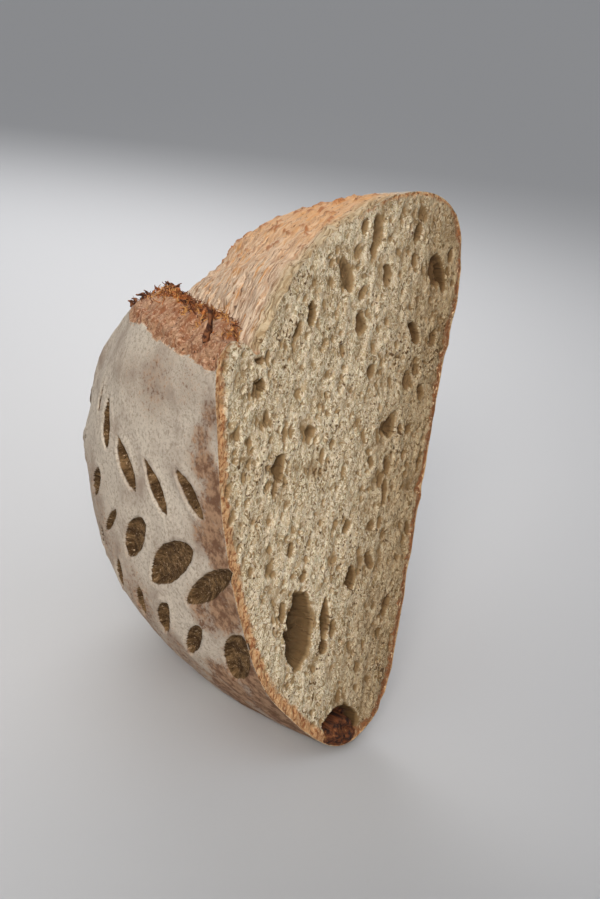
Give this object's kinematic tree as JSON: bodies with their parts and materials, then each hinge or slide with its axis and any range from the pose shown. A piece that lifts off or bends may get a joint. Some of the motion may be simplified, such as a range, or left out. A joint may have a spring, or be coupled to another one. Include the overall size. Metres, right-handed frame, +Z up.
{
  "type": "sourdough loaf half",
  "caption": "Cut half of a floured sourdough batard with a torn ear, an open burst and scored leaves, standing on its narrow side.",
  "frame": {"origin": "middle of the bounding box on the underside, on the surface that the half stands on", "axes": "+Z up, the cut face towards -Y, the flat base towards +X, the rounded end towards +Y"},
  "size_m": [0.0978, 0.1266, 0.1596],
  "materials": {
    "bread": "matte"
  },
  "bodies": {
    "root": {"half_loaf": "bread"}
  },
  "joints": []
}
